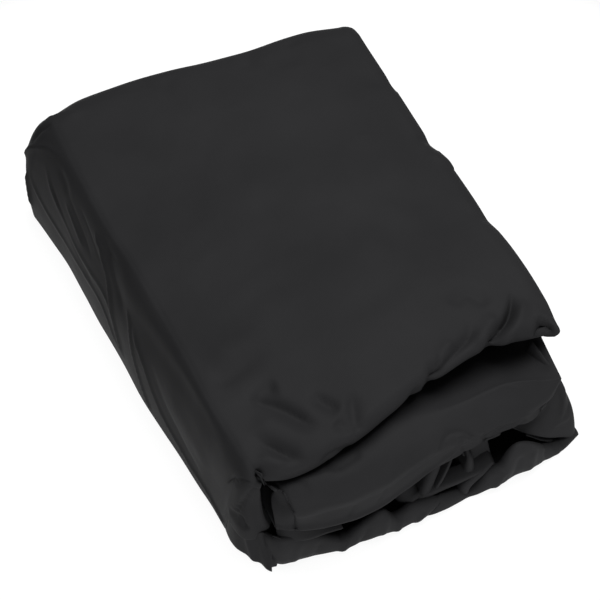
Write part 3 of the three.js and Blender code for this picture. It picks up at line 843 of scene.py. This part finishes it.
def side_plies():
    pitch = (SIDE_Z[1] - SIDE_Z[0]) / (SIDE_LEVELS - 1)
    bend = np.linspace(-math.pi / 2, math.pi / 2, SIDE_TURN_POINTS)
    line_x, line_z, right = [], [], []
    for level in range(SIDE_LEVELS):
        outwards = level % 2 == 0
        z = SIDE_Z[0] + level * pitch
        run = np.linspace(SIDE_INNER + SIDE_TURN, SIDE_OUTER - SIDE_TURN, SIDE_RUN_POINTS)
        run = run if outwards else run[::-1]
        line_x += list(run)
        line_z += [z] * len(run)
        right += list((run - SIDE_INNER) / (SIDE_OUTER - SIDE_INNER))
        if level + 1 < SIDE_LEVELS:
            sign = 1 if outwards else -1
            line_x += list(run[-1] + sign * pitch / 2 * SIDE_TURN_FULLER * np.cos(bend[1:-1]))
            line_z += list(z + pitch / 2 * (1 + np.sin(bend[1:-1])))
            right += [1.0 if outwards else 0.0] * (len(bend) - 2)
    line_x, line_z, right = map(np.array, (line_x, line_z, right))
    y, k = np.meshgrid(np.linspace(*SIDE_Y, SIDE_LINES), np.arange(len(line_x)), indexing="ij")
    x, z, right = line_x[k], line_z[k], right[k]
    high = z / SIDE_Z[1]
    y = y - SIDE_SHORTER * high**2 * (y - SIDE_Y[0]) / (SIDE_Y[1] - SIDE_Y[0])
    levels = np.stack([y, z * SIDE_UNLIKE], -1)
    x = x + right * waves(levels, seed=21, length=60, height=1.3)
    z = z + right * high * waves(np.stack([y, z], -1), seed=22, length=110, height=0.9)
    points = np.stack([x, y, z], -1)
    flat = np.stack([y, arc_lengths(points, 1)], -1)
    return cloth("side_plies", points[::-1], flat[::-1], PLY_THICK)


# The pointed corner of an under layer below the middle fold's right end: points of its upper and lower edges,
# its grid (steps between two points of an edge, and points from edge to edge), and how far its right part
# bulges, over which x and which way
CORNER_TOP = [
    (66, -146, 36), (80, -152, 36), (91, -154, 38), (97, -156, 46), (101, -158, 54),
    (103.5, -158.5, 59), (104.5, -152, 58), (105.5, -142, 58), (106, -128, 58), (106, -108, 58),
]
CORNER_HEM = [
    (70, -161, 33), (77, -165, 27), (85, -168, 22), (96, -169.5, 14.5), (107, -169, 7.5),
    (117, -168.5, 1.2), (120, -162, 4), (121, -150, 4.5), (121, -134, 5), (120, -110, 6),
]
CORNER_GRID = (9, 44)
CORNER_BULGE = 3.5
CORNER_BULGE_X = (96, 112)
CORNER_BULGE_WAY = (1, -0.3, 0)


def between(upper, lower, grid):
    """A grid of points from an upper edge down to a lower one."""
    steps, down = grid
    top, low = smooth_path(upper, steps), smooth_path(lower, steps)
    return lerp(top[:, None], low[:, None], np.linspace(0, 1, down)[None, :, None])


def edge_flat(grid):
    """Flat places of a grid: the way along it and down it."""
    return np.stack([arc_lengths(grid, 0), arc_lengths(grid, 1)], -1)


def corner_panel():
    grid = between(CORNER_TOP, CORNER_HEM, CORNER_GRID)
    down = np.linspace(0, 1, CORNER_GRID[1])
    out = smooth(grid[..., 0], *CORNER_BULGE_X) * np.sin(math.pi * down) * CORNER_BULGE
    grid = grid + out[..., None] * np.array(CORNER_BULGE_WAY)
    flat = edge_flat(grid)
    # a grid from left to right faces inwards, so its creases go the other way and it is turned round
    grid = grid - grid_normals(grid) * relief(flat, CORNER_CREASES)[..., None]
    return cloth("corner_panel", grid[::-1], flat[::-1], PLY_THICK)


# Gathered folds of an inner ply in the mouth below the middle fold. Each is the crest of a fold, along a
# path, with its half width at the start and end and how far its sides run back
MOUTH_FOLDS = [
    ([(-11, -165, 23), (-10, -169, 20), (-9, -173, 17), (-8, -176, 15)], (8.0, 7.5), 10),
    ([(19, -163, 34), (16, -168, 32), (10, -172, 23), (5, -175, 16), (2, -176, 12)], (4.6, 3.8), 14),
    ([(28, -163, 35), (25, -168, 30), (17, -173, 22), (10, -175, 14)], (1.2, 1.2), 14),
    ([(-3, -176, 13), (7, -176, 14), (17, -176, 15), (25, -176, 15), (34, -176, 15.5), (43, -176, 16.5),
      (54, -174, 16)], (2.8, 1.2), 10),
    ([(38, -165, 30), (38, -170, 25), (37, -173, 18), (36, -174, 14)], (1.4, 5.2), 12),
    ([(80, -167.5, 23), (84, -168, 19.5), (93, -168.5, 11), (105, -168.5, 3)], (0.5, 0.5), 8),
    ([(53, -174, 18), (45, -177, 16), (38, -178, 13), (32, -179, 9), (30, -179, 4)], (1.4, 4.4), 12),
]
# The way their sides run back, the height that they stay above, and their grid: steps between two points of a
# crest, and points down a side and over the crest
MOUTH_BACK = (0.15, 1.0, 0.1)
MOUTH_FLOOR = 0.8
MOUTH_STEPS = 9
MOUTH_SIDE = 8
MOUTH_CREST = 11


def mouth_fold(number, path, half, deep):
    """A fold's crest with its two sides running back into the dark."""
    line = smooth_path(path, MOUTH_STEPS)
    run = np.linspace(0, 1, len(line))
    back = np.array(MOUTH_BACK) / np.linalg.norm(MOUTH_BACK)
    along = np.gradient(line, axis=0)
    across = unit(np.cross(along, back))
    front = unit(np.cross(across, along))
    front *= np.sign((front * -back).sum(1, keepdims=True))
    away = np.linspace(1, 0, MOUTH_SIDE, endpoint=False)
    side = np.concatenate([away, np.zeros(MOUTH_CREST), np.linspace(0, 1, MOUTH_SIDE + 1)[1:]])
    over = np.linspace(-90, 90, MOUTH_CREST)
    turn = np.radians(np.concatenate([np.full(MOUTH_SIDE, -90.0), over, np.full(MOUTH_SIDE, 90.0)]))
    wide = lerp(half[0], half[1], run)[:, None, None]
    points = (
        line[:, None]
        + across[:, None] * np.sin(turn)[None, :, None] * wide
        + front[:, None] * (np.cos(turn)[None, :, None] - 1) * wide
        + back[None, None] * side[None, :, None] * deep
    )
    points[..., 2] = np.maximum(points[..., 2], MOUTH_FLOOR)
    return cloth(f"mouth_fold_{number}", points, edge_flat(points), PLY_THICK)


def mouth_folds():
    return [mouth_fold(number + 1, *entry) for number, entry in enumerate(MOUTH_FOLDS)]


# Thin plies, each with points of its upper edge and its lower edge, and its grid as above. corner_tab is the
# bottom layer's corner that peeps out at the near left, mouth_face a three-cornered face in the mouth, and
# tucked_ply the small ply tucked in below the middle fold's left end. wall_ply and mouth_ply are plies
# further in, behind the left wall's foot and behind the mouth.
TAB_GRID = (9, 24)
PLY_GRID = (10, 14)
THIN_PLIES = {
    "corner_tab": (
        [(-108, -112, 22), (-114.6, -136, 22), (-115.3, -146, 22.5), (-112.5, -152, 24.5),
         (-112, -155.5, 25.5), (-108, -158, 26), (-105, -161, 26), (-102.3, -162, 26),
         (-99.5, -166.5, 26), (-98.2, -169, 27), (-97.4, -168.5, 27.5), (-95, -172, 28)],
        [(-110, -112, 0.5), (-115.2, -136, 0.5), (-115.0, -148.5, 0.5), (-111, -157, 0.5),
         (-109.5, -162.5, 0.5), (-106, -166, 0.5), (-104.5, -171.5, 0.5), (-103, -174, 0.5),
         (-102, -174.6, 0.5), (-101.4, -172.6, 0.5), (-100.6, -172, 0.5), (-98, -172.5, 0.5)],
        TAB_GRID,
    ),
    "mouth_face": (
        [(35, -160, 30), (44, -161, 31), (53, -163, 31)],
        [(36, -165, 26), (46, -166, 17), (57, -167, 8)],
        PLY_GRID,
    ),
    "tucked_ply": (
        [(-94, -160, 32), (-92, -164, 36), (-86, -166, 37.5),
         (-76, -168, 35), (-67, -169, 33), (-56, -169, 29)],
        [(-95, -170, 27), (-91, -173, 26), (-86, -175.5, 25),
         (-77, -178, 25), (-67, -179, 26), (-56, -179, 24)],
        PLY_GRID,
    ),
    "wall_ply": (
        [(-108, -112, 58), (-109, -135, 58), (-109.5, -148, 56), (-107.5, -155.5, 52)],
        [(-109, -112, 8), (-110.5, -135, 8), (-110.5, -148, 8), (-108.5, -156, 8)],
        PLY_GRID,
    ),
    "mouth_ply": (
        [(-86, -144, 33), (-20, -147, 33), (40, -145, 34), (80, -147, 34), (100, -152, 24), (112, -157, 12)],
        [(-86, -147, 3), (-20, -144, 3), (40, -148, 3), (80, -147, 3), (100, -156, 2), (113, -160, 1)],
        PLY_GRID,
    ),
}


def thin_ply(name):
    grid = between(*THIN_PLIES[name])
    return cloth(name, grid[::-1], edge_flat(grid)[::-1], PLY_THICK)


def linear(hex_colour):
    """An sRGB hex colour as a linear colour with alpha."""
    parts = [int(hex_colour[i : i + 2], 16) / 255 for i in (1, 3, 5)]
    return (*[c / 12.92 if c <= 0.04045 else ((c + 0.055) / 1.055) ** 2.4 for c in parts], 1.0)


def add_node(tree, kind, settings=None, links=None):
    """A node with its settings and, by input name or number, its values and links."""
    node = tree.nodes.new(kind)
    for name, value in (settings or {}).items():
        setattr(node, name, value)
    for socket, value in (links or {}).items():
        target = node.inputs[socket]
        if isinstance(value, bpy.types.NodeSocket):
            tree.links.new(value, target)
        else:
            target.default_value = value
    return node


# The weave's scale. Threads of such a taffeta lie about 0.3 mm apart, which is too fine to show, so they are
# drawn 1 mm apart. The rumple's dents are about 14 mm apart, and the shade changes over about 70 mm.
WEAVE_SCALE = 310.0
RUMPLE_SCALE = 70.0
CLOUDY_SCALE = 14.0


def coated_taffeta():
    """Polyester taffeta, woven fine and coated with polyurethane on its inside. The eye sees a matt black
    cloth with a soft low sheen, a slight rumple and a very fine plain weave."""
    material = bpy.data.materials.new("coated_polyester_taffeta")
    material.use_nodes = True
    tree = material.node_tree
    tree.nodes.clear()
    place = add_node(tree, "ShaderNodeUVMap", {"uv_map": "cloth"})
    solid = add_node(tree, "ShaderNodeTexCoord").outputs["Object"]
    cloudy = add_node(
        tree, "ShaderNodeTexNoise", None, {"Vector": solid, "Scale": CLOUDY_SCALE, "Detail": 3.0}
    )
    colour = add_node(tree, "ShaderNodeValToRGB", None, {"Fac": cloudy.outputs["Fac"]})
    for stop, position, shade in zip(colour.color_ramp.elements, (0.3, 0.7), ("#212122", "#252526")):
        stop.position, stop.color = position, linear(shade)
    threads = [
        add_node(
            tree, "ShaderNodeTexWave", {"wave_type": "BANDS", "bands_direction": way},
            {"Vector": place.outputs["UV"], "Scale": WEAVE_SCALE},
        ).outputs["Fac"]
        for way in "XY"
    ]
    weave = add_node(tree, "ShaderNodeMath", {"operation": "MULTIPLY"}, dict(enumerate(threads)))
    rumple = add_node(
        tree, "ShaderNodeTexNoise", None, {"Vector": solid, "Scale": RUMPLE_SCALE, "Detail": 4.0}
    )
    rumple_bump = add_node(
        tree, "ShaderNodeBump", None, {"Strength": 0.25, "Distance": 0.0012, "Height": rumple.outputs["Fac"]}
    )
    weave_bump = add_node(
        tree, "ShaderNodeBump", None,
        {
            "Strength": 0.2,
            "Distance": 0.0002,
            "Height": weave.outputs["Value"],
            "Normal": rumple_bump.outputs["Normal"],
        },
    )
    shader = add_node(
        tree, "ShaderNodeBsdfPrincipled", None,
        {
            "Base Color": colour.outputs["Color"],
            "Roughness": 0.6,
            "IOR": 1.45,
            "Specular IOR Level": 0.05,
            "Normal": weave_bump.outputs["Normal"],
        },
    )
    add_node(tree, "ShaderNodeOutputMaterial", None, {"Surface": shader.outputs["BSDF"]})
    return material


def finish_piece(piece, material):
    piece.data.materials.append(material)
    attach(piece, "root")
    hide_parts(NODE)


# The camera at the photograph's angle, and the place that it looks at, in the maker's coordinates
CAMERA_AZIMUTH = -26.0
CAMERA_ELEVATION = 50.0
CAMERA_LENS = 120.0
CAMERA_SENSOR = 36.0
CAMERA_DISTANCE = 1309.09
CAMERA_SEES = (0.05, 20.0)  # metres
LOOK_AT = (-7.65, -20.25, 45.0)


def camera():
    azimuth, elevation = math.radians(CAMERA_AZIMUTH), math.radians(CAMERA_ELEVATION)
    back = Vector((
        math.sin(azimuth) * math.cos(elevation),
        -math.cos(azimuth) * math.cos(elevation),
        math.sin(elevation),
    ))
    data = bpy.data.cameras.new("camera")
    data.lens, data.sensor_width = CAMERA_LENS, CAMERA_SENSOR
    data.clip_start, data.clip_end = CAMERA_SEES
    eye = bpy.data.objects.new("camera", data)
    eye.location = Vector(to_frame(np.array(LOOK_AT))) + back * CAMERA_DISTANCE * MM
    eye.rotation_mode = "QUATERNION"
    eye.rotation_quaternion = (-back).to_track_quat("-Z", "Y")
    bpy.context.scene.collection.objects.link(eye)
    bpy.context.scene.camera = eye


def softbox(name, place, aim, size, power):
    """A soft rectangular light, in metres and watts, that the camera doesn't see."""
    data = bpy.data.lights.new(name, "AREA")
    data.shape, data.size, data.size_y, data.energy = "RECTANGLE", *size, power
    light = bpy.data.objects.new(name, data)
    light.location = place
    light.visible_camera = False
    light.rotation_mode = "QUATERNION"
    light.rotation_quaternion = (Vector(aim) - Vector(place)).to_track_quat("-Z", "Y")
    bpy.context.scene.collection.objects.link(light)


# The studio, in metres and watts: the light all round, half the floor's side, and the floor's glow, with how
# far from the middle it ends, how steeply it rises inwards and its level
ALL_ROUND = 0.23
FLOOR_HALF = 4.0
GLOW_END = 0.6
GLOW_RISE = 2.3
GLOW_STRENGTH = 0.92


def studio():
    """A plain floor with a painted glow, which keeps it white in the bundle's shadow and lights the cloth
    from below, and soft light from overhead and, weaker, from the front.
    """
    world = bpy.data.worlds.new("studio")
    bpy.context.scene.world = world
    world.use_nodes = True
    world.node_tree.nodes["Background"].inputs["Color"].default_value = (1, 1, 1, 1)
    world.node_tree.nodes["Background"].inputs["Strength"].default_value = ALL_ROUND
    softbox("overhead", place=(0.45, 0.3, 1.7), aim=(0, 0, 0), size=(1.6, 1.6), power=41)
    softbox("front", place=(-0.3, -1.7, 0.3), aim=(0, 0, 0), size=(1.2, 0.4), power=17)
    mesh = bpy.data.meshes.new("floor")
    corners = [(x * FLOOR_HALF, y * FLOOR_HALF, 0) for x, y in ((-1, -1), (1, -1), (1, 1), (-1, 1))]
    mesh.from_pydata(corners, [], [(0, 1, 2, 3)])
    floor = bpy.data.objects.new("floor", mesh)
    bpy.context.scene.collection.objects.link(floor)
    paint = bpy.data.materials.new("glowing_floor")
    paint.use_nodes = True
    shader = paint.node_tree.nodes["Principled BSDF"]
    # The floor's paint is a mid grey. It looks white only through its painted glow, strongest under and
    # around the bundle, which fills in the bundle's shadow on it and lights the cloth's lower sides from
    # below.
    shader.inputs["Base Color"].default_value = linear("#606060")
    shader.inputs["Roughness"].default_value = 0.9
    shader.inputs["Emission Color"].default_value = (1, 1, 1, 1)
    tree = paint.node_tree
    place = add_node(tree, "ShaderNodeTexCoord")
    scaled = add_node(
        tree, "ShaderNodeMapping", None, {"Vector": place.outputs["Object"], "Scale": (1 / GLOW_END,) * 3}
    )
    fade = add_node(
        tree, "ShaderNodeTexGradient", {"gradient_type": "SPHERICAL"}, {"Vector": scaled.outputs["Vector"]}
    )
    steep = add_node(
        tree, "ShaderNodeMath", {"operation": "MULTIPLY"}, {0: fade.outputs["Fac"], 1: GLOW_RISE}
    )
    glow = add_node(
        tree, "ShaderNodeMath", {"operation": "MINIMUM"}, {0: steep.outputs["Value"], 1: GLOW_STRENGTH}
    )
    tree.links.new(glow.outputs["Value"], shader.inputs["Emission Strength"])
    mesh.materials.append(paint)
    bpy.context.scene.view_settings.view_transform = "Standard"


camera()
studio()
taffeta = coated_taffeta()
for piece, cut in (
    outer_sheet(),
    middle_fold(),
    bottom_fold(),
    side_plies(),
    corner_panel(),
    thin_ply("corner_tab"),
    *mouth_folds(),
    thin_ply("mouth_face"),
    thin_ply("tucked_ply"),
    thin_ply("wall_ply"),
    thin_ply("mouth_ply"),
):
    finish_piece(piece, taffeta)
